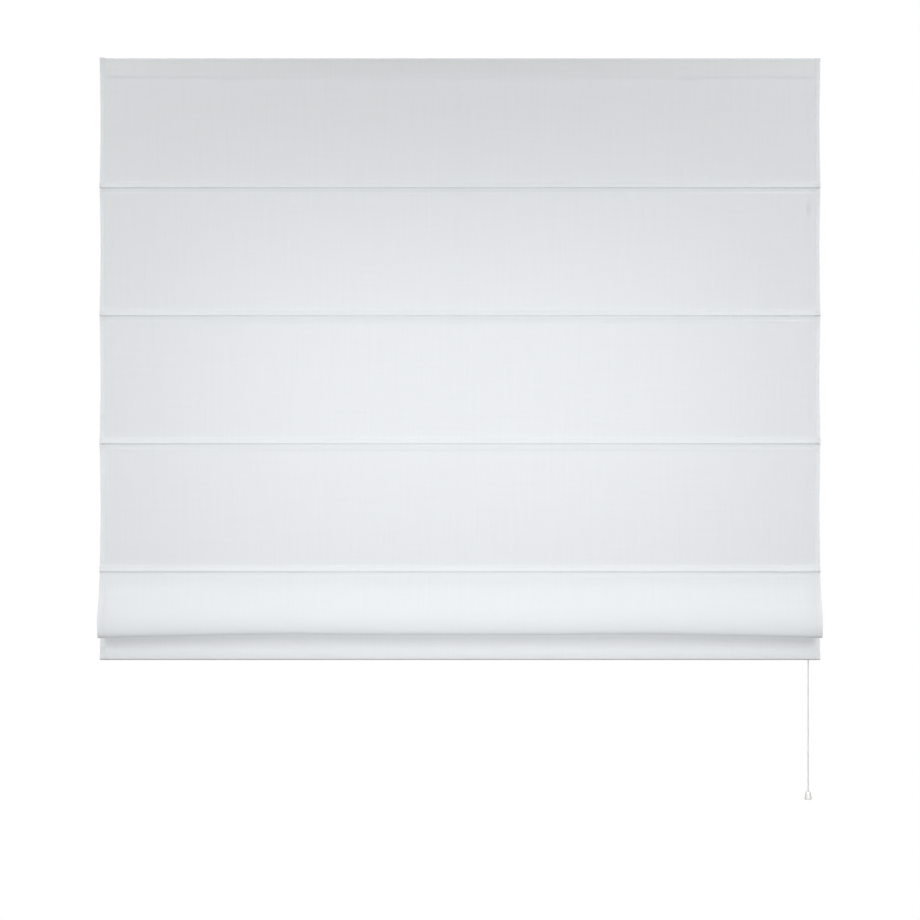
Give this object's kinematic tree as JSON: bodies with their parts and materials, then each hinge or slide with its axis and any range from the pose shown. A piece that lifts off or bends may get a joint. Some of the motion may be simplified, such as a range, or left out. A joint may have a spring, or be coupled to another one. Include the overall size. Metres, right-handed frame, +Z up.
{
  "type": "roman blind",
  "caption": "Sheer Roman blind on an aluminium rail, with rods, rings, lift cords, a cord lock and a cone pull; lowest fold gathered.",
  "frame": {"origin": "centre of the middle bracket's wall face", "axes": "+Z up, +Y into the wall, +X along the rail towards the cord side; the room is at -Y"},
  "size_m": [1.3, 0.0658, 1.3411],
  "materials": {
    "voile": "sheer white linen-look polyester voile",
    "touch_tape": "off-white hook and loop tape",
    "rail_paint": "satin white powder coat on extruded aluminium",
    "zinc_steel": "zinc plated",
    "white_nylon": "moulded nylon",
    "fibreglass": "pultruded, off-white",
    "clear_plastic": "clear polycarbonate",
    "polyester_braid": "white braided cord"
  },
  "bodies": {
    "rail": {"headrail": "rail_paint", "end_cap_left": "white_nylon", "end_cap_right": "white_nylon", "hook_tape": "touch_tape", "loop_tape": "touch_tape", "panel_1_upper": "voile", "cord_lock": "white_nylon", "bracket_left": "zinc_steel", "bracket_centre": "zinc_steel", "bracket_right": "zinc_steel", "cord_guide_left": "white_nylon", "cord_guide_centre": "white_nylon", "cord_guide_right": "white_nylon", "lift_cord_left": "polyester_braid", "lift_cord_centre": "polyester_braid", "lift_cord_right": "polyester_braid"},
    "clip_left": {"clip_left": "zinc_steel"},
    "clip_centre": {"clip_centre": "zinc_steel"},
    "clip_right": {"clip_right": "zinc_steel"},
    "pulley_left": {"guide_pulley_left": "white_nylon"},
    "pulley_centre": {"guide_pulley_centre": "white_nylon"},
    "pulley_right": {"guide_pulley_right": "white_nylon"},
    "lock_roller": {"lock_roller": "white_nylon"},
    "fold_1": {"panel_1_lower": "voile"},
    "level_1": {"rod_1": "fibreglass", "ring_1_left": "clear_plastic", "ring_1_centre": "clear_plastic", "ring_1_right": "clear_plastic", "panel_2_upper": "voile"},
    "fold_2": {"panel_2_lower": "voile"},
    "level_2": {"rod_2": "fibreglass", "ring_2_left": "clear_plastic", "ring_2_centre": "clear_plastic", "ring_2_right": "clear_plastic", "panel_3_upper": "voile"},
    "fold_3": {"panel_3_lower": "voile"},
    "level_3": {"rod_3": "fibreglass", "ring_3_left": "clear_plastic", "ring_3_centre": "clear_plastic", "ring_3_right": "clear_plastic", "panel_4_upper": "voile"},
    "fold_4": {"panel_4_lower": "voile"},
    "level_4": {"rod_4": "fibreglass", "ring_4_left": "clear_plastic", "ring_4_centre": "clear_plastic", "ring_4_right": "clear_plastic", "panel_5_upper": "voile"},
    "fold_5": {"panel_5_lower": "voile"},
    "level_5": {"rod_5": "fibreglass", "ring_5_left": "clear_plastic", "ring_5_centre": "clear_plastic", "ring_5_right": "clear_plastic", "flap": "voile", "weight_rod": "zinc_steel"},
    "pull": {"cord_connector": "clear_plastic", "pull_cord": "polyester_braid", "pull_cone": "white_nylon"}
  },
  "joints": [
    {"name": "fold_1_close", "type": "slide", "parent": "rail", "child": "fold_1", "axis": [0, -0.6386, 0.7696], "range_m": [0, 0.12215], "deforming": ["panel_1_upper", "panel_1_lower"]},
    {"name": "fold_1_rise", "type": "slide", "parent": "fold_1", "child": "level_1", "axis": [0, 0.6386, 0.7696], "range_m": [0, 0.12215]},
    {"name": "fold_2_close", "type": "slide", "parent": "level_1", "child": "fold_2", "axis": [0, -0.5046, 0.8633], "range_m": [0, 0.12683], "deforming": ["panel_2_upper", "panel_2_lower"]},
    {"name": "fold_2_rise", "type": "slide", "parent": "fold_2", "child": "level_2", "axis": [0, 0.5046, 0.8633], "range_m": [0, 0.12683]},
    {"name": "fold_3_close", "type": "slide", "parent": "level_2", "child": "fold_3", "axis": [0, -0.4154, 0.9097], "range_m": [0, 0.12037], "deforming": ["panel_3_upper", "panel_3_lower"]},
    {"name": "fold_3_rise", "type": "slide", "parent": "fold_3", "child": "level_3", "axis": [0, 0.4154, 0.9097], "range_m": [0, 0.12037]},
    {"name": "fold_4_close", "type": "slide", "parent": "level_3", "child": "fold_4", "axis": [0, -0.3123, 0.95], "range_m": [0, 0.11527], "deforming": ["panel_4_upper", "panel_4_lower"]},
    {"name": "fold_4_rise", "type": "slide", "parent": "fold_4", "child": "level_4", "axis": [0, 0.3123, 0.95], "range_m": [0, 0.11527]},
    {"name": "fold_5_close", "type": "slide", "parent": "level_4", "child": "fold_5", "axis": [0, -0.197, 0.9804], "range_m": [-0.11169, 0], "deforming": ["panel_5_upper", "panel_5_lower", "lift_cord_left", "lift_cord_centre", "lift_cord_right"]},
    {"name": "fold_5_rise", "type": "slide", "parent": "fold_5", "child": "level_5", "axis": [0, 0.197, 0.9804], "range_m": [-0.11169, 0]},
    {"name": "pulley_left_turn", "type": "hinge", "parent": "rail", "child": "pulley_left", "pos_m": [-0.5421, -0.0309, -0.0045], "axis": [0, 1, 0], "continuous": true},
    {"name": "pulley_centre_turn", "type": "hinge", "parent": "rail", "child": "pulley_centre", "pos_m": [0.0049, -0.0309, -0.0045], "axis": [0, 1, 0], "continuous": true},
    {"name": "pulley_right_turn", "type": "hinge", "parent": "rail", "child": "pulley_right", "pos_m": [0.5519, -0.0309, -0.0045], "axis": [0, 1, 0], "continuous": true},
    {"name": "pull", "type": "slide", "parent": "rail", "child": "pull", "axis": [0, 0, -1], "range_m": [-0.219, 0.845]},
    {"name": "clip_left_turn", "type": "hinge", "parent": "rail", "child": "clip_left", "pos_m": [-0.42, -0.026, 0], "axis": [0, 0, 1], "range_deg": [0, 90]},
    {"name": "clip_centre_turn", "type": "hinge", "parent": "rail", "child": "clip_centre", "pos_m": [0, -0.026, 0], "axis": [0, 0, 1], "range_deg": [0, 90]},
    {"name": "clip_right_turn", "type": "hinge", "parent": "rail", "child": "clip_right", "pos_m": [0.42, -0.026, 0], "axis": [0, 0, 1], "range_deg": [0, 90]},
    {"name": "lock_roller_slide", "type": "slide", "parent": "rail", "child": "lock_roller", "axis": [0.1392, 0, -0.9903], "range_m": [0, 0.0025]}
  ],
  "couplings": [
    {"joint": "fold_1_rise", "follows": "fold_1_close", "ratio": 1},
    {"joint": "fold_2_rise", "follows": "fold_2_close", "ratio": 1},
    {"joint": "fold_3_rise", "follows": "fold_3_close", "ratio": 1},
    {"joint": "fold_4_rise", "follows": "fold_4_close", "ratio": 1},
    {"joint": "fold_5_rise", "follows": "fold_5_close", "ratio": 1}
  ]
}
